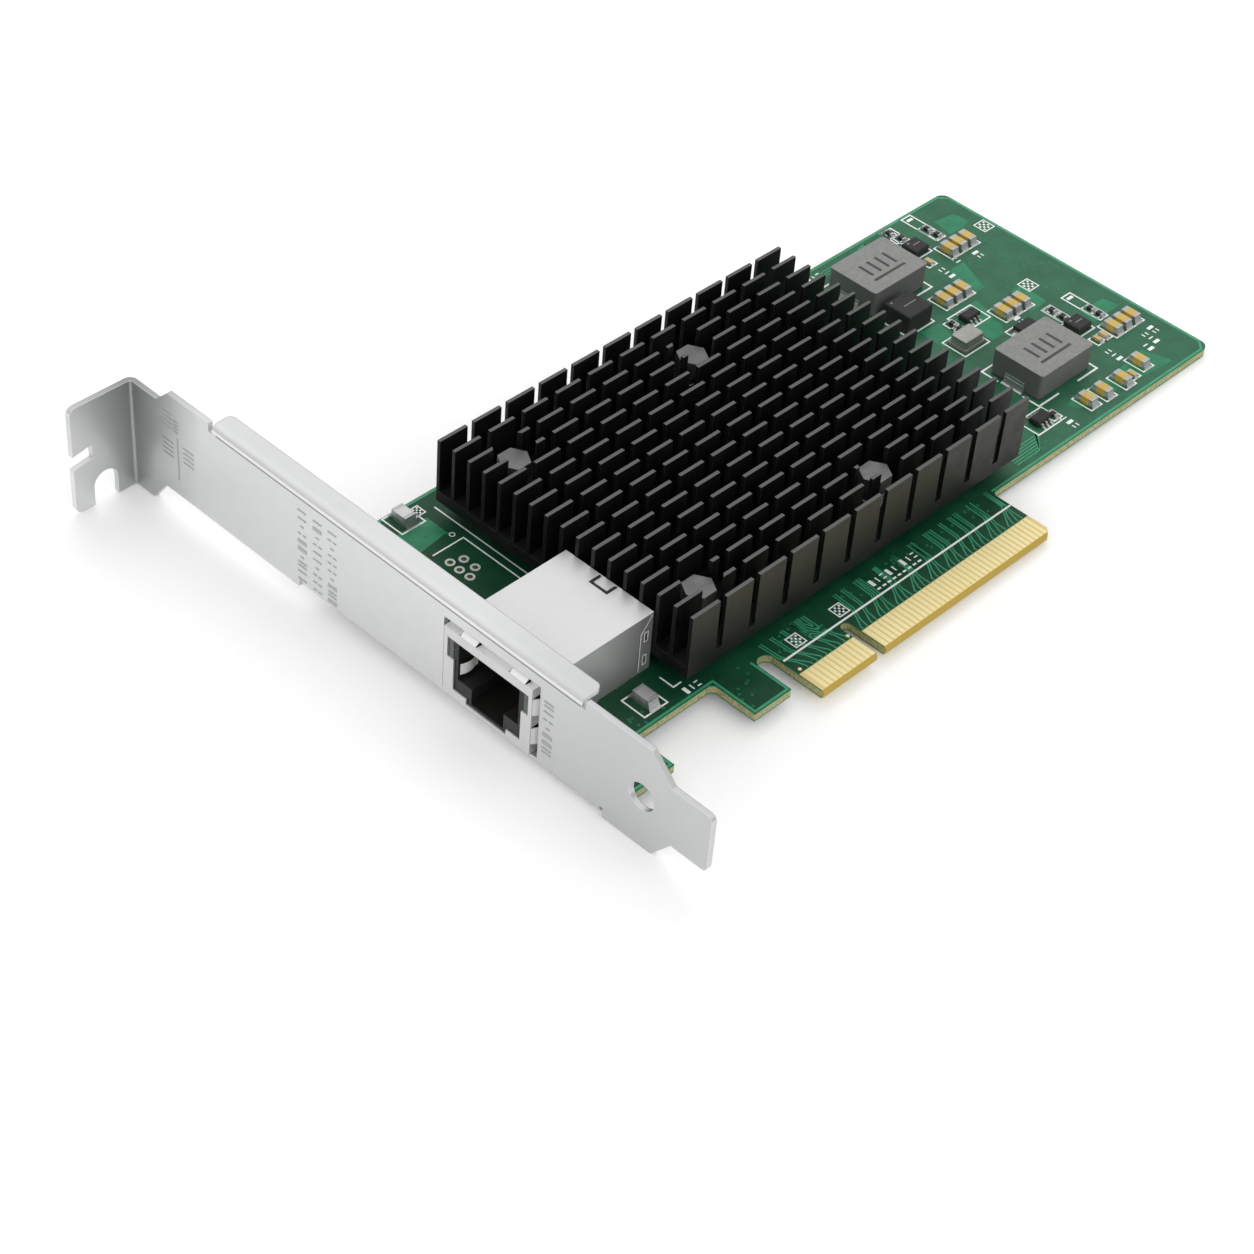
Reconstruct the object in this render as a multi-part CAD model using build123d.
from build123d import *
import os

# Half-length network interface card: circuit board with an eight-lane edge connector, a finned
# heatsink over the controller chip, a shielded RJ45 jack and a full-height mounting bracket.
# Lengths are in millimetres. The origin is on the centre line of the connector's key notch, at the
# tips of its contacts, half way through the board. +X runs from the bracket to the far end, +Y from
# the contacts to the bracket's tab and +Z out of the component side.

# Board. Places along X are stated from the bracket's outer face, places along Y from the contact tips.
board_thick = 1.57
face_to_key = 50.7
face_to_board = 1.4
face_to_far_end = 147.0
board_top_edge = 68.9
board_low_edge = 11.7
board_corner_radius = 1.7
inside_corner_radius = 1.0
screw_strip_end = 11.9
screw_strip_low = 4.3
ear_start = 27.5
ear_end = 35.0
ear_low = 3.5
ear_slot_top = 11.0
cut_over = 1.0

# Edge connector
key_width = 1.9
key_depth = 7.7
short_tab = 11.65
long_tab = 38.65
contact_pitch = 1.0
contact_width = 0.7
contact_length = 4.3
contact_thick = 0.05
contact_key_offset = 0.55
contacts_short = 11
contacts_long = 38
tip_bevel = 0.35
tab_corner_chamfer = 1.0

# Bracket
sheet = 0.9
bend_inner_radius = 0.45
bracket_length = 120.02
tongue_end = -12.82
plate_width = 18.42
plate_drop = 1.83
neck_width = 19.9
neck_drop = 6.03
neck_length_high = 6.9
neck_slope_high = 2.7
neck_length_low = 5.2
neck_slope_low = 3.2
tongue_width = 10.19
tongue_offset = 4.12
tongue_length = 6.52
tongue_slope = 3.3
plate_end_step = 1.5
tongue_corner_radius = 1.0
tab_depth = 11.43
tab_corner_radius = 1.3
upper_flange_start = 11.4
upper_flange_margin = 10.0
upper_flange_depth = 3.9
lower_flange_start = 6.9
lower_flange_end = 67.8
lower_flange_depth = 4.2
relief_width = 0.7
relief_depth = 0.25
ear_pad_width = 7.4
ear_pad_depth = 10.4
screw_slot_width = 4.42
screw_slot_wall = 3.45
screw_slot_depth = 5.6
hook_floor = 9.0
hook_mouth = 2.6
hook_slope = 0.7
hook_depth = 3.6
fixing_hole_radius = 2.3
fixing_hole_from_tongue = 12.37
fixing_hole_z = 5.6

# Bracket screws
bracket_screw_radius = 1.45
bracket_screw_head_radius = 2.6
bracket_screw_head_height = 1.7
bracket_screw_head_chamfer = 0.55
bracket_screw_tip = 0.2
bracket_screw_recess_length = 2.8
bracket_screw_recess_width = 0.5
bracket_screw_recess_floor = 0.8
thread_gap = 0.05
collar_wall = 0.8
bracket_screw_x = 6.6
bracket_screw_margin = 3.3
board_hole_gap = 0.2

# Jack, with its own places stated from its centre line and from the board's top
jack_centre = 28.8
jack_width = 17.4
jack_height = 10.6
jack_drop = 1.75
jack_front = -0.4
jack_back = 23.2
jack_sheet = 0.25
jack_window_margin = 0.7
jack_window_top = 9.0
jack_window_low = -0.3
jack_latch_margin = 0.8
jack_latch_low = -1.3
jack_pipe_rim = 0.7
jack_pipe_low = 5.3
jack_cut_gap = 0.5
jack_cut_gap_low = 0.1
jack_finger_room = 1.1
jack_finger_rise = 0.8
jack_finger_width = 3.0
jack_finger_length = 3.0
jack_finger_crest = 1.2
jack_finger_gap = 0.2
jack_finger_join = 0.1
jack_top_fingers = (4.1, -5.6)
jack_side_fingers = (7.2, 1.75)
jack_insert_depth = 12.6
jack_insert_gap = 0.05
plug_width = 12.0
plug_top = 8.5
plug_low = 1.9
latch_width = 6.4
latch_low = -0.9
plug_depth = 11.6
jack_sunk_length = 13.2
jack_notch_gap = 0.3
jack_contact_pitch = 1.02
jack_contact_width = 0.46
jack_contact_thick = 0.3
jack_contacts_count = 8
jack_contact_bay = 0.6
jack_contact_roof_gap = 0.1
jack_contact_front = 1.5
jack_contact_end = 1.6
jack_contact_drop = 2.8
jack_contact_bend = 0.9
pipe_width = 1.1
led_length = 1.4
jack_pin_radius = 0.32
jack_pin_pitch = 2.54
jack_pins_per_row = 6
jack_pin_rows = (15.6, 19.4)
pin_reach = 0.75
shield_tab_x = 17.5
shield_tab_width = 1.8
shield_slot_gap = 0.15
top_latch_length = 2.1
top_latch_width = 3.0
top_latch_gap = 0.22

# Heatsink
heatsink_start = 23.3
heatsink_end = 97.6
heatsink_low = 13.0
heatsink_high = 64.5
heatsink_lift = 2.6
heatsink_height = 11.4
heatsink_base = 2.0
fin_thick = 0.6
fin_rows = 17
fin_gap = 1.9
edge_fin_gap = 1.35
fin_columns = 11
pocket_radius = 3.3
spring_screw_x = (30.8, 68.8)
spring_screw_y = (18.8, 56.0)
spring_screw_radius = 1.25
spring_screw_gap = 0.2
spring_screw_head_radius = 2.6
spring_screw_head_height = 2.6
spring_screw_head_drop = 2.3
nut_radius = 2.4
nut_height = 1.2
spring_wire = 0.5
spring_gap = 0.15
spring_turns = 3

# Controller chip
chip_x = 49.8
chip_y = 37.4
substrate_size = 25.0
substrate_thick = 1.1
lid_size = 21.0
lid_thick = 1.1
lid_corner = 1.0
pad_size = 20.0

# Power parts: the long sides of the inductors run along X
inductor_length = 13.3
inductor_width = 10.0
inductor_height = 4.8
inductor_radius = 0.6
inductor_places = ((116.8, 58.2), (120.3, 26.2))
inductor_lift = 0.2
inductor_terminal_width = 4.0
inductor_terminal_foot = 3.0
inductor_terminal_rise = 1.6
package_edge = 0.15
converter_length = 3.4
converter_width = 3.2
converter_height = 1.3
converter_places = ((130.2, 61.0), (134.1, 29.3))
module_length = 5.8
module_width = 5.4
module_height = 3.4
module_edge = 0.2
module_place = (114.0, 49.1)
diode_length = 3.9
diode_width = 2.1
diode_height = 1.5
diode_place = (126.7, 34.4)
diode_terminal = 0.5
diode_terminal_width = 1.4
small_chip_length = 3.4
small_chip_width = 1.8
small_chip_height = 1.2
small_chip_lift = 0.1
small_chip_leads = 3
small_chip_places = ((122.4, 42.7), (109.9, 17.9))
lead_width = 0.45
lead_pitch = 0.95
lead_thick = 0.18
lead_reach = 0.8
can_length = 5.2
can_width = 3.9
can_height = 2.0
can_base_height = 0.5
can_rim = 0.3
can_corner = 0.4
can_edge = 0.2
can_place = (116.9, 38.8)

# Chip capacitors and resistors: length runs along Y
cap_length = 2.9
cap_width = 1.6
cap_height = 1.3
cap_end = 0.65
cap_pitch = 2.4
cap_trios = ((136.8, 57.1), (124.9, 48.4), (129.9, 39.8), (140.6, 25.1))
cap_edge_places = ((119.6, 16.0), (123.4, 15.8), (128.2, 15.6), (134.2, 16.6))
small_length = 1.5
small_width = 0.8
small_height = 0.6
small_end = 0.3
small_cap_places = ((129.2, 57.1), (133.9, 24.9), (135.6, 24.9), (130.7, 15.4))
resistor_places = (
    (130.3, 66.9),
    (130.9, 64.6),
    (136.3, 63.5),
    (136.4, 61.3),
    (134.4, 34.8),
    (134.4, 32.5),
    (139.7, 30.9),
    (139.7, 29.0),
    (118.8, 43.3),
    (118.8, 41.6),
    (112.6, 17.4),
)
chassis_cap_length = 3.1
chassis_cap_width = 2.1
chassis_cap_height = 1.8
chassis_cap_end = 0.55
chassis_cap_places = ((18.6, 66.4), (17.7, 15.6))

# Unfitted header and test pads: bare metal rings and dots on the board
ring_places = ((17.3, 54.9), (19.3, 54.1), (17.2, 52.8), (19.3, 51.7), (17.3, 50.7))
ring_outer = 0.8
ring_hole = 0.45
ring_rise = 0.12
dot_places = ((38.95, 5.4), (49.35, 5.4))
dot_radius = 0.3

# Worked out from the sizes above
top = board_thick / 2
underside = -board_thick / 2
plate_low = underside - plate_drop
plate_high = plate_low + plate_width
neck_low = underside - neck_drop
neck_high = neck_low + neck_width
tongue_low = plate_low + tongue_offset
tongue_high = tongue_low + tongue_width
bracket_end = tongue_end + bracket_length
neck_end_high = bracket_end - neck_length_high
plate_start_high = neck_end_high - neck_slope_high
neck_end_low = bracket_end - neck_length_low
plate_start_low = neck_end_low - neck_slope_low
tongue_start_low = tongue_end + tongue_length
plate_end_low = tongue_start_low + tongue_slope
plate_end_high = plate_end_low + plate_end_step
upper_flange_end = plate_start_high - upper_flange_margin
fixing_hole_y = tongue_end + fixing_hole_from_tongue
bend_outer_radius = bend_inner_radius + sheet
jack_low_side = jack_centre - jack_width / 2
jack_high_side = jack_centre + jack_width / 2
jack_top = top + jack_height
jack_bottom = top - jack_drop
jack_window_half = plug_width / 2 + jack_window_margin
jack_latch_half = latch_width / 2 + jack_latch_margin
jack_pipe_half = jack_width / 2 - jack_pipe_rim
heatsink_bottom = top + heatsink_lift
heatsink_floor = heatsink_bottom + heatsink_base
heatsink_top = heatsink_bottom + heatsink_height
screw_head_top = heatsink_top - spring_screw_head_drop
screw_head_low = screw_head_top - spring_screw_head_height
bracket_screw_low = lower_flange_start + bracket_screw_margin
bracket_screw_high = lower_flange_end - bracket_screw_margin
collar_radius = bracket_screw_radius + thread_gap + collar_wall
bracket_screw_hole = bracket_screw_radius + board_hole_gap
tab_start = -key_width / 2 - short_tab
tab_end = key_width / 2 + long_tab


def from_face(distance):
    """X of a point that lies this far behind the bracket's outer face."""
    return distance - face_to_key


def block(x0, x1, y0, y1, z0, z1):
    """Box between two opposite corners."""
    low = (Align.MIN, Align.MIN, Align.MIN)
    return Pos(x0, y0, z0) * Box(x1 - x0, y1 - y0, z1 - z0, align=low)


def centred(x, y, length, width, z0, z1):
    """Box centred on a place of the board."""
    return block(x - length / 2, x + length / 2, y - width / 2, y + width / 2, z0, z1)


def rod(x, y, radius, z0, z1):
    """Upright cylinder between two heights."""
    return Pos(x, y, z0) * Cylinder(radius, z1 - z0, align=(Align.CENTER, Align.CENTER, Align.MIN))


def hexagon(x, y, radius, z0, z1):
    """Upright six-sided prism between two heights."""
    return Pos(x, y, z0) * extrude(RegularPolygon(radius, 6), z1 - z0)


def side_prism(points, x0, x1):
    """Prism along X of an outline that is given as (y, z) points."""
    outline = make_face(Polyline(*[(x0, y, z) for y, z in points], close=True))
    return extrude(outline, x1 - x0, dir=(1, 0, 0))


def end_prism(points, y0, y1):
    """Prism along Y of an outline that is given as (x, z) points."""
    outline = make_face(Polyline(*[(x, y0, z) for x, z in points], close=True))
    return extrude(outline, y1 - y0, dir=(0, 1, 0))


def flat_prism(points, z0, z1):
    """Prism along Z of an outline that is given as (x, y) points."""
    outline = make_face(Polyline(*[(x, y, z0) for x, y in points], close=True))
    return extrude(outline, z1 - z0, dir=(0, 0, 1))


def upright_edges_at(solid, x, y, reach=0.05):
    """The upright edges of a solid that pass through one place of the plan."""
    edges = solid.edges().filter_by(Axis.Z)
    return edges.filter_by(lambda edge: abs(edge.center().X - x) < reach and abs(edge.center().Y - y) < reach)


def save(name, pieces):
    """Write the solids of one named piece to its own file."""
    solids = []
    for piece in pieces:
        solids.extend(piece.solids())
    shape = solids[0] if len(solids) == 1 else Compound(children=solids)
    export_step(shape, f"parts/{name}.step")


def slot(x, y_end, radius, y_start):
    """Slot with a round end, cut through the board from its lower side."""
    z0, z1 = underside - cut_over, top + cut_over
    y_centre = y_end - radius
    return block(x - radius, x + radius, y_start, y_centre, z0, z1) + rod(x, y_centre, radius, z0, z1)


def bracket_screw_places():
    """The two places where the bracket is screwed to the board."""
    return [(from_face(bracket_screw_x), y) for y in (bracket_screw_low, bracket_screw_high)]


def spring_screw_places():
    """The four places of the heatsink's sprung screws."""
    return [(from_face(x), y) for x in spring_screw_x for y in spring_screw_y]


def jack_pin_places():
    """The places of the jack's solder pins."""
    first = jack_centre - jack_pin_pitch * (jack_pins_per_row - 1) / 2
    rows = [from_face(x) for x in jack_pin_rows]
    return [(x, first + index * jack_pin_pitch) for x in rows for index in range(jack_pins_per_row)]


def make_board():
    """Circuit board with its edge tab, ear, notches and drilled holes."""
    near = from_face(face_to_board)
    far = from_face(face_to_far_end)
    board = block(near, far, board_low_edge, board_top_edge, underside, top)
    board += block(near, from_face(screw_strip_end), screw_strip_low, board_low_edge, underside, top)
    board += block(from_face(ear_start), from_face(ear_end), ear_low, board_low_edge, underside, top)
    board += block(tab_start, tab_end, 0, board_low_edge, underside, top)
    bridge_low = ear_slot_top - inside_corner_radius
    board += block(from_face(ear_end), tab_start, bridge_low, board_low_edge, underside, top)
    outside = [(far, board_low_edge), (far, board_top_edge)]
    inside = [(tab_end, board_low_edge), (from_face(ear_start), board_low_edge)]
    inside.append((from_face(screw_strip_end), board_low_edge))
    for x, y in outside:
        board = fillet(upright_edges_at(board, x, y), board_corner_radius)
    for x, y in inside:
        board = fillet(upright_edges_at(board, x, y), inside_corner_radius)
    board = chamfer(upright_edges_at(board, tab_end, 0), tab_corner_chamfer)
    ear_slot_radius = (tab_start - from_face(ear_end)) / 2
    board -= slot(tab_start - ear_slot_radius, ear_slot_top, ear_slot_radius, -cut_over)
    board -= slot(0, key_depth, key_width / 2, -cut_over)
    for side in (1, -1):
        surface, shoulder = side * top, side * (top - tip_bevel)
        bevel = [(-cut_over, surface), (tip_bevel, surface), (0, shoulder), (-cut_over, shoulder)]
        board -= side_prism(bevel, tab_start - cut_over, tab_end + cut_over)
    z0, z1 = underside - cut_over, top + cut_over
    notch_side = jack_width / 2 + jack_notch_gap
    notch_end = from_face(jack_sunk_length + jack_notch_gap)
    board -= block(near - cut_over, notch_end, jack_centre - notch_side, jack_centre + notch_side, z0, z1)
    for x, y in bracket_screw_places():
        board -= rod(x, y, bracket_screw_hole, z0, z1)
    for x, y in spring_screw_places():
        board -= rod(x, y, spring_screw_radius + spring_screw_gap, z0, z1)
    for x, y in jack_pin_places():
        board -= rod(x, y, jack_pin_radius + shield_slot_gap, z0, z1)
    for side in (jack_low_side + jack_sheet / 2, jack_high_side - jack_sheet / 2):
        length = shield_tab_width + 2 * shield_slot_gap
        width = jack_sheet + 2 * shield_slot_gap
        board -= centred(from_face(shield_tab_x), side, length, width, z0, z1)
    for x, y in ring_places:
        board -= rod(from_face(x), y, ring_hole, z0, z1)
    return board


def make_edge_contacts(side):
    """Contacts of one face of the edge connector: side is 1 for the component side, -1 for the other."""
    centres = [-key_width / 2 - contact_key_offset - index * contact_pitch for index in range(contacts_short)]
    centres += [key_width / 2 + contact_key_offset + index * contact_pitch for index in range(contacts_long)]
    z0, z1 = sorted((side * top, side * (top + contact_thick)))
    y = tip_bevel + contact_length / 2
    return [centred(x, y, contact_width, contact_length, z0, z1) for x in centres]


def make_bracket():
    """Folded bracket: plate with neck, tab, tongue, two flanges and two tapped ears."""
    face = from_face(0)
    back = face + sheet
    relief_high = plate_high - bend_outer_radius - relief_depth
    relief_low = plate_low + bend_outer_radius + relief_depth
    outline = [
        (bracket_end, neck_high),
        (neck_end_high, neck_high),
        (plate_start_high, plate_high),
        (upper_flange_end + relief_width, plate_high),
        (upper_flange_end + relief_width, relief_high),
        (upper_flange_start - relief_width, relief_high),
        (upper_flange_start - relief_width, plate_high),
        (plate_end_high, plate_high),
        (plate_end_high - plate_high + tongue_high, tongue_high),
        (tongue_end, tongue_high),
        (tongue_end, tongue_low),
        (tongue_start_low, tongue_low),
        (plate_end_low, plate_low),
        (lower_flange_start - relief_width, plate_low),
        (lower_flange_start - relief_width, relief_low),
        (lower_flange_end + relief_width, relief_low),
        (lower_flange_end + relief_width, plate_low),
        (plate_start_low, plate_low),
        (neck_end_low, neck_low),
        (bracket_end, neck_low),
    ]
    z0, z1 = min(neck_low, plate_low), max(neck_high, plate_high)
    blank = block(face, back, tongue_end, bracket_end, z0, z1)
    blank += block(face - tab_depth, back, bracket_end - sheet, bracket_end, z0, z1)
    blank = fillet(upright_edges_at(blank, face, bracket_end - sheet), bend_inner_radius)
    blank = fillet(upright_edges_at(blank, back, bracket_end), bend_outer_radius)
    bracket = blank & side_prism(outline, face - tab_depth - cut_over, back + cut_over)
    for z in (tongue_low, tongue_high):
        corner = bracket.edges().filter_by(Axis.X).sort_by_distance((face, tongue_end, z))[0]
        bracket = fillet(corner, tongue_corner_radius)
    bracket += upper_flange(face, back)
    bracket += lower_flange(face, back)
    bracket -= tab_cuts(face)
    for z in (neck_high, neck_low):
        place = (face - tab_depth, bracket_end - sheet / 2, z)
        corner = bracket.edges().filter_by(Axis.Y).sort_by_distance(place)[0]
        bracket = fillet(corner, tab_corner_radius)
    hole_place = Plane.YZ.offset(face - cut_over) * Pos(fixing_hole_y, top + fixing_hole_z)
    bracket -= extrude(hole_place * Circle(fixing_hole_radius), sheet + 2 * cut_over, dir=(1, 0, 0))
    side_low = jack_low_side - jack_finger_room
    side_high = jack_high_side + jack_cut_gap
    cut_low = jack_bottom - jack_cut_gap_low
    cut_high = jack_top + jack_finger_room
    bracket -= block(face - cut_over, back + cut_over, side_low, side_high, cut_low, cut_high)
    for x, y in bracket_screw_places():
        bracket += rod(x, y, collar_radius, plate_low, underside)
        bracket -= rod(x, y, bracket_screw_radius + thread_gap, plate_low - cut_over, underside + cut_over)
    return bracket


def upper_flange(face, back):
    """Stiffening flange along the top of the plate, folded back over the board."""
    root = plate_high - bend_outer_radius - relief_depth
    points = [
        (face, root),
        (face, plate_high),
        (face + upper_flange_depth, plate_high),
        (face + upper_flange_depth, plate_high - sheet),
        (back, plate_high - sheet),
        (back, root),
    ]
    flange = end_prism(points, upper_flange_start, upper_flange_end)
    middle = (upper_flange_start + upper_flange_end) / 2
    outer = flange.edges().filter_by(Axis.Y).sort_by_distance((face, middle, plate_high))[0]
    flange = fillet(outer, bend_outer_radius)
    inner = flange.edges().filter_by(Axis.Y).sort_by_distance((back, middle, plate_high - sheet))[0]
    flange = fillet(inner, bend_inner_radius)
    corners = flange.edges().filter_by(Axis.Z).filter_by(lambda edge: edge.center().X > back)
    return fillet(corners, tongue_corner_radius)


def lower_flange(face, back):
    """Flange folded under the board, with two deeper ears that carry the screws."""
    root = plate_low + bend_outer_radius + relief_depth
    points = [
        (face, root),
        (face, plate_low),
        (face + lower_flange_depth, plate_low),
        (face + lower_flange_depth, plate_low + sheet),
        (back, plate_low + sheet),
        (back, root),
    ]
    flange = end_prism(points, lower_flange_start, lower_flange_end)
    middle = (lower_flange_start + lower_flange_end) / 2
    outer = flange.edges().filter_by(Axis.Y).sort_by_distance((face, middle, plate_low))[0]
    flange = fillet(outer, bend_outer_radius)
    inner = flange.edges().filter_by(Axis.Y).sort_by_distance((back, middle, plate_low + sheet))[0]
    flange = fillet(inner, bend_inner_radius)
    for _, y in bracket_screw_places():
        half = ear_pad_width / 2
        low = max(y - half, lower_flange_start)
        high = min(y + half, lower_flange_end)
        ear = block(back + bend_inner_radius, face + ear_pad_depth, low, high, plate_low, plate_low + sheet)
        flange += fillet(ear.edges().filter_by(Axis.Z).group_by(Axis.X)[-1], tongue_corner_radius)
    return flange


def tab_cuts(face):
    """Screw slot and hook notch of the bracket's tab."""
    y0, y1 = bracket_end - sheet - cut_over, bracket_end + cut_over
    radius = screw_slot_width / 2
    centre = face - screw_slot_wall - radius
    slot_end = neck_low + screw_slot_depth - radius
    cuts = block(centre - radius, centre + radius, y0, y1, neck_low - cut_over, slot_end)
    round_end = Plane.XZ.offset(-y0) * Pos(centre, slot_end) * Circle(radius)
    cuts += extrude(round_end, y1 - y0, dir=(0, 1, 0))
    outer = face - tab_depth - cut_over
    end = face - tab_depth + hook_depth
    floor = neck_low + hook_floor
    points = [
        (outer, floor - hook_slope),
        (end, floor),
        (end, floor + hook_mouth),
        (end - hook_slope, floor + hook_mouth),
        (outer, floor + hook_mouth - hook_slope),
    ]
    return cuts + end_prism(points, y0, y1)


def make_bracket_screws():
    """Pan-head screws that go down through the board into the bracket's ears."""
    screws = []
    length, width = bracket_screw_recess_length, bracket_screw_recess_width
    z0, z1 = top + bracket_screw_recess_floor, top + bracket_screw_head_height + cut_over
    for x, y in bracket_screw_places():
        head = rod(x, y, bracket_screw_head_radius, top, top + bracket_screw_head_height)
        head = chamfer(head.edges().sort_by(Axis.Z)[-1], bracket_screw_head_chamfer)
        shank = rod(x, y, bracket_screw_radius, plate_low - bracket_screw_tip, top)
        recess = centred(x, y, length, width, z0, z1) + centred(x, y, width, length, z0, z1)
        screws.append(head + shank - recess)
    return screws


def jack_space(gap, reach=0.0):
    """Outer form of the jack shrunk by a gap: a sunken front part and a rear part on the board."""
    x0, x1, x2 = (from_face(x) for x in (jack_front, jack_sunk_length, jack_back))
    y0, y1 = jack_low_side + gap, jack_high_side - gap
    front = block(x0 + gap, x1 - gap, y0, y1, jack_bottom + gap, jack_top - gap)
    return front + block(x0 + gap, x2 - gap, y0, y1, top - reach, jack_top - gap)


def window_outline():
    """Outline of the opening in the shield's front, seen along X."""
    half = [
        (jack_pipe_half, jack_window_top),
        (jack_pipe_half, jack_pipe_low),
        (jack_window_half, jack_pipe_low),
        (jack_window_half, jack_window_low),
        (jack_latch_half, jack_window_low),
        (jack_latch_half, jack_latch_low),
    ]
    right = [(jack_centre + y, top + z) for y, z in half]
    left = [(jack_centre - y, top + z) for y, z in reversed(half)]
    return right + left


def make_jack_shield():
    """Folded metal can with front window, contact fingers, rear latch and board tabs."""
    face = from_face(jack_front)
    shield = jack_space(0) - jack_space(jack_sheet, reach=cut_over)
    shield -= side_prism(window_outline(), face - cut_over, face + 2 * jack_sheet)
    tip = face + jack_finger_length
    crest = face + jack_finger_crest
    root = face + jack_sheet / 2
    half = jack_finger_width / 2
    room = half + jack_finger_gap
    for y in jack_top_fingers:
        middle = jack_centre + y
        z = jack_top
        points = [
            (root, z - jack_sheet),
            (root, z),
            (crest, z + jack_finger_rise),
            (tip, z),
            (tip, z - jack_sheet),
            (crest, z + jack_finger_rise - jack_sheet),
        ]
        shield -= block(root, tip + jack_sheet, middle - room, middle + room, z - jack_sheet, z + cut_over)
        shield += end_prism(points, middle - half, middle + half)
        shield += block(face, root + jack_finger_join, middle - half, middle + half, z - jack_sheet, z)
    for z in jack_side_fingers:
        middle = top + z
        y = jack_low_side
        points = [
            (root, y + jack_sheet),
            (root, y),
            (crest, y - jack_finger_rise),
            (tip, y),
            (tip, y + jack_sheet),
            (crest, y - jack_finger_rise + jack_sheet),
        ]
        shield -= block(root, tip + jack_sheet, y - cut_over, y + jack_sheet, middle - room, middle + room)
        shield += flat_prism(points, middle - half, middle + half)
        shield += block(face, root + jack_finger_join, y, y + jack_sheet, middle - half, middle + half)
    for y in (jack_low_side, jack_high_side - jack_sheet):
        x0 = from_face(shield_tab_x) - shield_tab_width / 2
        x1 = x0 + shield_tab_width
        shield += block(x0, x1, y, y + jack_sheet, underside - pin_reach, top + jack_sheet)
    end = from_face(jack_back)
    start = end - top_latch_length
    y0 = jack_centre - top_latch_width / 2
    y1 = jack_centre + top_latch_width / 2
    roof = jack_top - jack_sheet
    opening = block(start, end - jack_sheet, y0, y1, roof, jack_top + cut_over)
    latch = block(start + top_latch_gap, end, y0 + top_latch_gap, y1 - top_latch_gap, roof, jack_top)
    return shield - opening + latch


def make_jack_insert():
    """Moulded insert with the plug's cavity, the latch channel and the light pipe channels."""
    gap = jack_sheet + jack_insert_gap
    x0, x1 = from_face(jack_front) + gap, from_face(jack_insert_depth)
    y0, y1 = jack_low_side + gap, jack_high_side - gap
    insert = block(x0, x1, y0, y1, jack_bottom + gap, jack_top - gap)
    start, end = x0 - cut_over, from_face(plug_depth)
    half = plug_width / 2
    insert -= block(start, end, jack_centre - half, jack_centre + half, top + plug_low, top + plug_top)
    half = latch_width / 2
    insert -= block(start, end, jack_centre - half, jack_centre + half, top + latch_low, top + plug_top)
    half = jack_contact_pitch * jack_contacts_count / 2
    bay_start, bay_low = x0 + jack_contact_front - jack_contact_thick, top + plug_top - jack_contact_bay
    bay_top = top + plug_top + jack_contact_bay
    insert -= block(bay_start, x1 + cut_over, jack_centre - half, jack_centre + half, bay_low, bay_top)
    for side in (1, -1):
        inner = jack_centre + side * (jack_pipe_half - pipe_width)
        outer = jack_centre + side * jack_pipe_half
        low, high = sorted((inner, outer))
        insert -= block(start, x1 + cut_over, low, high, top + jack_pipe_low, top + jack_window_top)
    return insert


def make_light_pipes():
    """Clear bars that carry the light of the two diodes to the front corners."""
    return corner_bars(from_face(jack_front) + jack_sheet, from_face(jack_insert_depth - led_length))


def make_leds():
    """Light-emitting diodes behind the light pipes."""
    return corner_bars(from_face(jack_insert_depth - led_length), from_face(jack_insert_depth))


def corner_bars(x0, x1):
    """Bars in the insert's two upper corner channels."""
    bars = []
    for side in (1, -1):
        inner = jack_centre + side * (jack_pipe_half - pipe_width + jack_insert_gap)
        outer = jack_centre + side * (jack_pipe_half - jack_insert_gap)
        low, high = sorted((inner, outer))
        z0 = top + jack_pipe_low
        bars.append(block(x0, x1, low, high, z0, top + jack_window_top - jack_insert_gap))
    return bars


def make_magnetics():
    """Moulded transformer block that fills the jack behind the insert."""
    gap = jack_sheet + jack_insert_gap
    x0, x1 = from_face(jack_insert_depth), from_face(jack_back) - gap
    y0, y1 = jack_low_side + gap, jack_high_side - gap
    block_top = jack_top - gap
    rear = block(from_face(jack_sunk_length + jack_notch_gap), x1, y0, y1, top, block_top)
    return rear + block(x0, x1, y0, y1, top + jack_notch_gap, block_top)


def make_jack_contacts():
    """Spring contacts that run forward under the cavity's roof and turn back down."""
    rear = from_face(jack_insert_depth)
    front = from_face(jack_front) + jack_sheet + jack_insert_gap + jack_contact_front
    roof = top + plug_top + jack_contact_bay - jack_contact_roof_gap
    back = from_face(plug_depth) - jack_contact_end
    thick, drop = jack_contact_thick, jack_contact_drop
    points = [
        (rear, roof),
        (front, roof),
        (front, roof - thick),
        (back, roof - drop),
        (back, roof - drop + thick),
        (front + jack_contact_bend, roof - thick),
        (rear, roof - thick),
    ]
    first = jack_centre - jack_contact_pitch * (jack_contacts_count - 1) / 2
    half = jack_contact_width / 2
    centres = [first + index * jack_contact_pitch for index in range(jack_contacts_count)]
    return [end_prism(points, y - half, y + half) for y in centres]


def make_jack_pins():
    """Solder pins under the transformer block."""
    return [rod(x, y, jack_pin_radius, underside - pin_reach, top) for x, y in jack_pin_places()]


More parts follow.
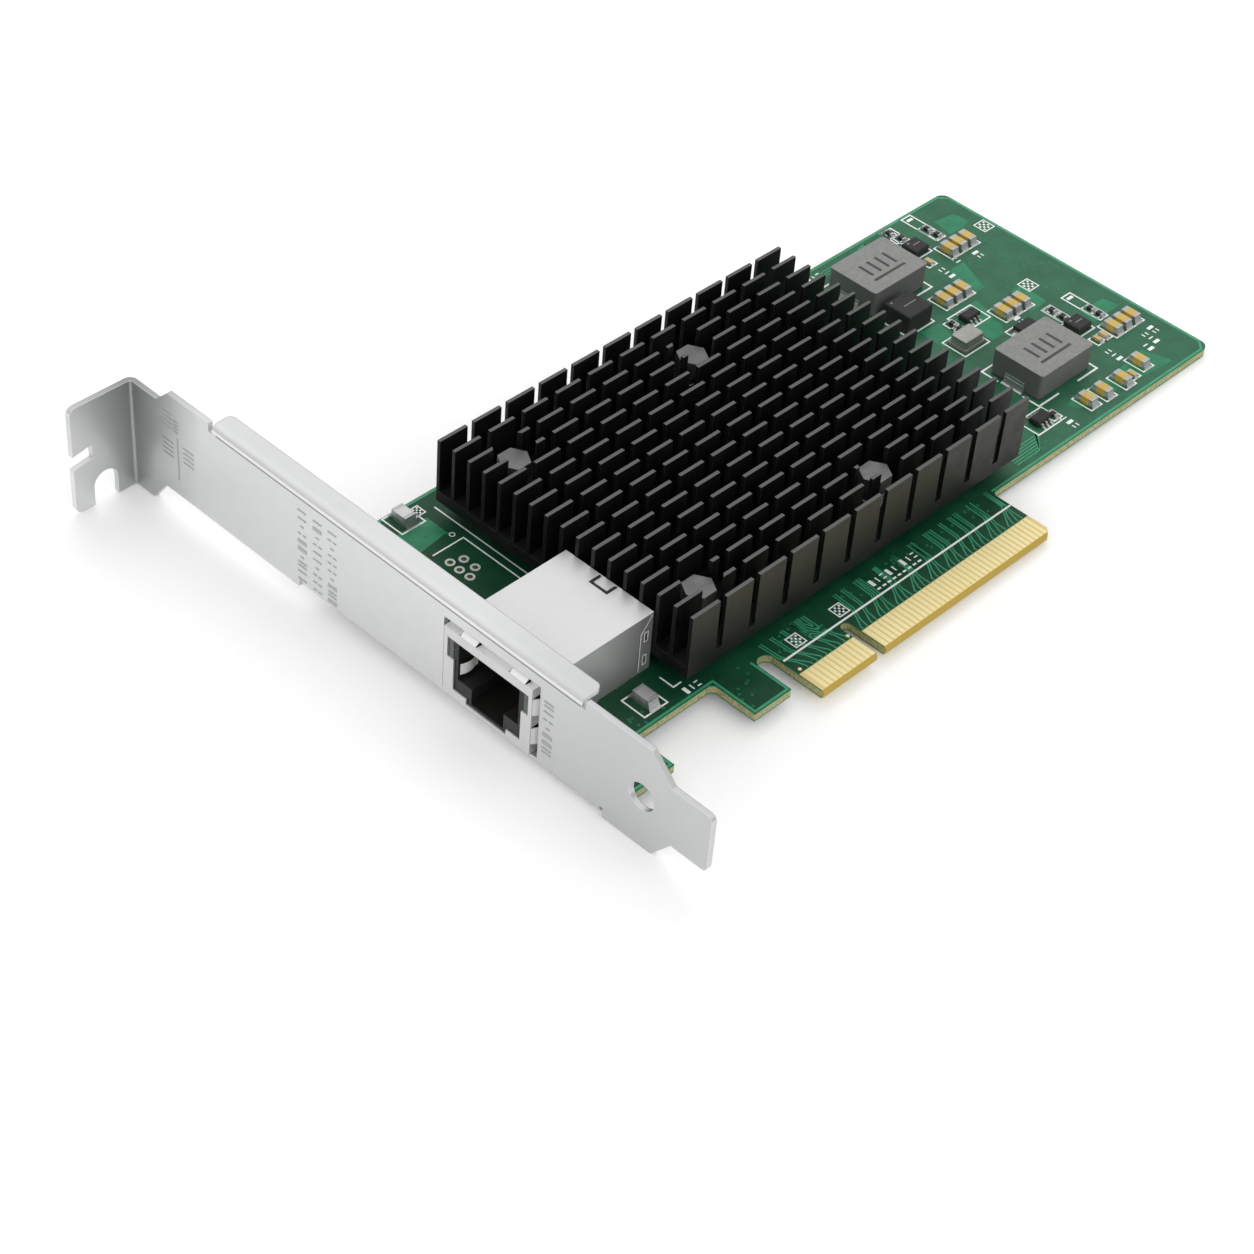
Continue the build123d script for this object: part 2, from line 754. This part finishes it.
def make_heatsink():
    """Base plate with rows of fins, cross-cut into columns, with pockets for the screws."""
    x0, x1 = from_face(heatsink_start), from_face(heatsink_end)
    heatsink = block(x0, x1, heatsink_low, heatsink_high, heatsink_bottom, heatsink_top)
    row_pitch = (heatsink_high - heatsink_low - fin_thick) / (fin_rows - 1)
    grooves = []
    for index in range(fin_rows - 1):
        y0 = heatsink_low + index * row_pitch + fin_thick
        y1 = heatsink_low + (index + 1) * row_pitch
        grooves.append(block(x0 - cut_over, x1 + cut_over, y0, y1, heatsink_floor, heatsink_top + cut_over))
    heatsink -= grooves
    column_pitch = (x1 - x0 + edge_fin_gap) / fin_columns
    inner_low, inner_high = heatsink_low + row_pitch / 2, heatsink_high - row_pitch / 2
    ceiling = heatsink_top + cut_over
    grooves = []
    for index in range(fin_columns - 1):
        middle = x0 + (index + 1) * column_pitch - edge_fin_gap / 2
        half = edge_fin_gap / 2
        low, high = heatsink_low - cut_over, heatsink_high + cut_over
        grooves.append(block(middle - half, middle + half, low, high, heatsink_floor, ceiling))
        half = fin_gap / 2
        grooves.append(block(middle - half, middle + half, inner_low, inner_high, heatsink_floor, ceiling))
    heatsink -= grooves
    hole = spring_screw_radius + spring_screw_gap
    for x, y in spring_screw_places():
        heatsink -= rod(x, y, pocket_radius, heatsink_floor, heatsink_top + cut_over)
        heatsink -= rod(x, y, hole, heatsink_bottom - cut_over, heatsink_floor + cut_over)
    return heatsink


def make_spring_screws():
    """Hexagon-headed screws that hold the heatsink down through their springs."""
    screws = []
    for x, y in spring_screw_places():
        head = hexagon(x, y, spring_screw_head_radius, screw_head_low, screw_head_top)
        shank = rod(x, y, spring_screw_radius, underside - nut_height, screw_head_low)
        screws.append(head + shank)
    return screws


def make_springs():
    """Coil springs between the heatsink's base and the screws' heads."""
    coil_radius = spring_screw_radius + spring_gap + spring_wire / 2
    height = screw_head_low - heatsink_floor
    rise = height - spring_wire
    springs = []
    for x, y in spring_screw_places():
        path = Helix(rise / spring_turns, rise, coil_radius, center=(0, 0, spring_wire / 2))
        start = Plane(origin=path @ 0, z_dir=path % 0)
        coil = sweep(start * RegularPolygon(spring_wire / 2, 6), path=path, is_frenet=True)
        springs.append(Pos(x, y, heatsink_floor) * coil)
    return springs


def make_nuts():
    """Hexagon nuts under the board for the sprung screws."""
    nuts = []
    for x, y in spring_screw_places():
        nut = hexagon(x, y, nut_radius, underside - nut_height, underside)
        z0, z1 = underside - nut_height - cut_over, underside + cut_over
        nuts.append(nut - rod(x, y, spring_screw_radius + thread_gap, z0, z1))
    return nuts


def make_controller():
    """Carrier, lid and thermal pad of the controller chip, stacked up to the heatsink."""
    x, y = from_face(chip_x), chip_y
    lid_low = top + substrate_thick
    lid_high = lid_low + lid_thick
    carrier = centred(x, y, substrate_size, substrate_size, top, lid_low)
    lid = centred(x, y, lid_size, lid_size, lid_low, lid_high)
    lid = chamfer(lid.edges().filter_by(Axis.Z), lid_corner)
    pad = centred(x, y, pad_size, pad_size, lid_high, heatsink_bottom)
    return carrier, lid, pad


def make_inductors():
    """Bodies and end terminals of the two power inductors."""
    bodies, terminals = [], []
    low = top + inductor_lift
    for place_x, y in inductor_places:
        x = from_face(place_x)
        body = centred(x, y, inductor_length, inductor_width, low, top + inductor_height)
        body = fillet(body.edges().filter_by(Axis.Z), inductor_radius)
        bodies.append(body)
        y0, y1 = y - inductor_terminal_width / 2, y + inductor_terminal_width / 2
        for side in (1, -1):
            end = x + side * inductor_length / 2
            x0, x1 = sorted((end, end - side * inductor_terminal_foot))
            foot = block(x0, x1, y0, y1, top, low)
            x0, x1 = sorted((end, end + side * inductor_lift))
            terminals.append(foot + block(x0, x1, y0, y1, top, low + inductor_terminal_rise))
    return bodies, terminals


def make_converters():
    """Small power converter packages and the taller converter module."""
    packages = []
    for x, y in converter_places:
        body = centred(from_face(x), y, converter_length, converter_width, top, top + converter_height)
        packages.append(chamfer(body.faces().sort_by(Axis.Z)[-1].edges(), package_edge))
    x, y = module_place
    module = centred(from_face(x), y, module_length, module_width, top, top + module_height)
    packages.append(chamfer(module.faces().sort_by(Axis.Z)[-1].edges(), module_edge))
    return packages


def make_diode():
    """Moulded diode between the inductors and its two folded end terminals."""
    x, y = from_face(diode_place[0]), diode_place[1]
    body = centred(x, y, diode_length, diode_width, top + lead_thick, top + diode_height)
    body = chamfer(body.faces().sort_by(Axis.Z)[-1].edges(), package_edge)
    ends = []
    y0, y1 = y - diode_terminal_width / 2, y + diode_terminal_width / 2
    for side in (1, -1):
        edge = x + side * diode_length / 2
        low, high = sorted((edge - side * diode_terminal, edge + side * lead_thick))
        foot = block(low, high, y0, y1, top, top + lead_thick)
        low, high = sorted((edge, edge + side * lead_thick))
        foot += block(low, high, y0, y1, top, top + diode_height / 2)
        ends.append(foot)
    return body, ends


def make_small_chips():
    """Small leaded packages and their gull-wing leads."""
    bodies, leads = [], []
    low = top + small_chip_lift
    for place_x, y in small_chip_places:
        x = from_face(place_x)
        body = centred(x, y, small_chip_length, small_chip_width, low, top + small_chip_height)
        bodies.append(chamfer(body.faces().sort_by(Axis.Z)[-1].edges(), package_edge))
        first = x - lead_pitch * (small_chip_leads - 1) / 2
        for side in (1, -1):
            wall = y + side * small_chip_width / 2
            for index in range(small_chip_leads):
                middle = first + index * lead_pitch
                leads.append(gull_wing(middle, wall, side))
    return bodies, leads


def gull_wing(x, wall, side):
    """One lead that leaves a package's wall, steps down and lies on the board."""
    knee = small_chip_height / 2
    run = lead_reach / 2
    points = [
        (wall, top + knee),
        (wall + side * run, top + knee),
        (wall + side * (run + lead_thick), top + lead_thick),
        (wall + side * lead_reach, top + lead_thick),
        (wall + side * lead_reach, top),
        (wall + side * run, top),
        (wall + side * (run - lead_thick), top + knee - lead_thick),
        (wall, top + knee - lead_thick),
    ]
    return side_prism(points, x - lead_width / 2, x + lead_width / 2)


def make_clock_can():
    """Metal lid of the clock package and the ceramic base under it."""
    x, y = from_face(can_place[0]), can_place[1]
    middle = top + can_base_height
    base = centred(x, y, can_length, can_width, top, middle)
    lid = centred(x, y, can_length - 2 * can_rim, can_width - 2 * can_rim, middle, top + can_height)
    lid = fillet(lid.edges().filter_by(Axis.Z), can_corner)
    return base, chamfer(lid.faces().sort_by(Axis.Z)[-1].edges(), can_edge)


def chip_part(x, y, length, width, height, end):
    """Body and two end caps of a chip capacitor or resistor that lies along Y."""
    z1 = top + height
    body = centred(x, y, width, length - 2 * end, top, z1)
    low = centred(x, y - (length - end) / 2, width, end, top, z1)
    high = centred(x, y + (length - end) / 2, width, end, top, z1)
    return body, [low, high]


def chip_parts(places, length, width, height, end):
    """Bodies and end caps of like chip parts at several places."""
    bodies, ends = [], []
    for x, y in places:
        body, caps = chip_part(from_face(x), y, length, width, height, end)
        bodies.append(body)
        ends.extend(caps)
    return bodies, ends


def cap_places():
    """Places of the larger chip capacitors: the trios and those along the lower edge."""
    trios = [(x + step * cap_pitch, y) for x, y in cap_trios for step in (-1, 0, 1)]
    return trios + list(cap_edge_places)


def make_pad_rings():
    """Tinned rings around the unfitted header's holes."""
    rings = []
    for place_x, y in ring_places:
        x = from_face(place_x)
        ring = rod(x, y, ring_outer, top, top + ring_rise)
        rings.append(ring - rod(x, y, ring_hole, top - cut_over, top + cut_over))
    return rings


def make_test_dots():
    """Small gold test pads beside the edge connector's contacts."""
    return [rod(from_face(x), y, dot_radius, top, top + contact_thick) for x, y in dot_places]


def build_all():
    """Make every piece and write it to its file."""
    os.makedirs("parts", exist_ok=True)
    save("circuit_board", [make_board()])
    save("edge_contacts_component_side", make_edge_contacts(1))
    save("edge_contacts_solder_side", make_edge_contacts(-1))
    save("bracket", [make_bracket()])
    save("bracket_screws", make_bracket_screws())
    save("jack_shield", [make_jack_shield()])
    save("jack_insert", [make_jack_insert()])
    save("jack_light_pipes", make_light_pipes())
    save("jack_leds", make_leds())
    save("jack_magnetics", [make_magnetics()])
    save("jack_contacts", make_jack_contacts())
    save("jack_pins", make_jack_pins())
    save("heatsink", [make_heatsink()])
    save("heatsink_screws", make_spring_screws())
    save("heatsink_springs", make_springs())
    save("heatsink_nuts", make_nuts())
    carrier, lid, pad = make_controller()
    save("controller_carrier", [carrier])
    save("controller_lid", [lid])
    save("thermal_pad", [pad])
    bodies, terminals = make_inductors()
    save("inductor_bodies", bodies)
    save("inductor_terminals", terminals)
    save("converter_packages", make_converters())
    diode, ends = make_diode()
    save("diode_body", [diode])
    save("diode_terminals", ends)
    bodies, leads = make_small_chips()
    save("small_chip_bodies", bodies)
    save("small_chip_leads", leads)
    base, lid = make_clock_can()
    save("clock_base", [base])
    save("clock_lid", [lid])
    bodies, ends = chip_parts(cap_places(), cap_length, cap_width, cap_height, cap_end)
    save("capacitor_bodies", bodies)
    save("capacitor_ends", ends)
    bodies, ends = chip_parts(small_cap_places, small_length, small_width, small_height, small_end)
    save("small_capacitor_bodies", bodies)
    save("small_capacitor_ends", ends)
    bodies, ends = chip_parts(resistor_places, small_length, small_width, small_height, small_end)
    save("resistor_bodies", bodies)
    save("resistor_ends", ends)
    sizes = (chassis_cap_length, chassis_cap_width, chassis_cap_height, chassis_cap_end)
    bodies, ends = chip_parts(chassis_cap_places, *sizes)
    save("chassis_capacitor_bodies", bodies)
    save("chassis_capacitor_ends", ends)
    save("header_pads", make_pad_rings())
    save("gold_test_pads", make_test_dots())


build_all()
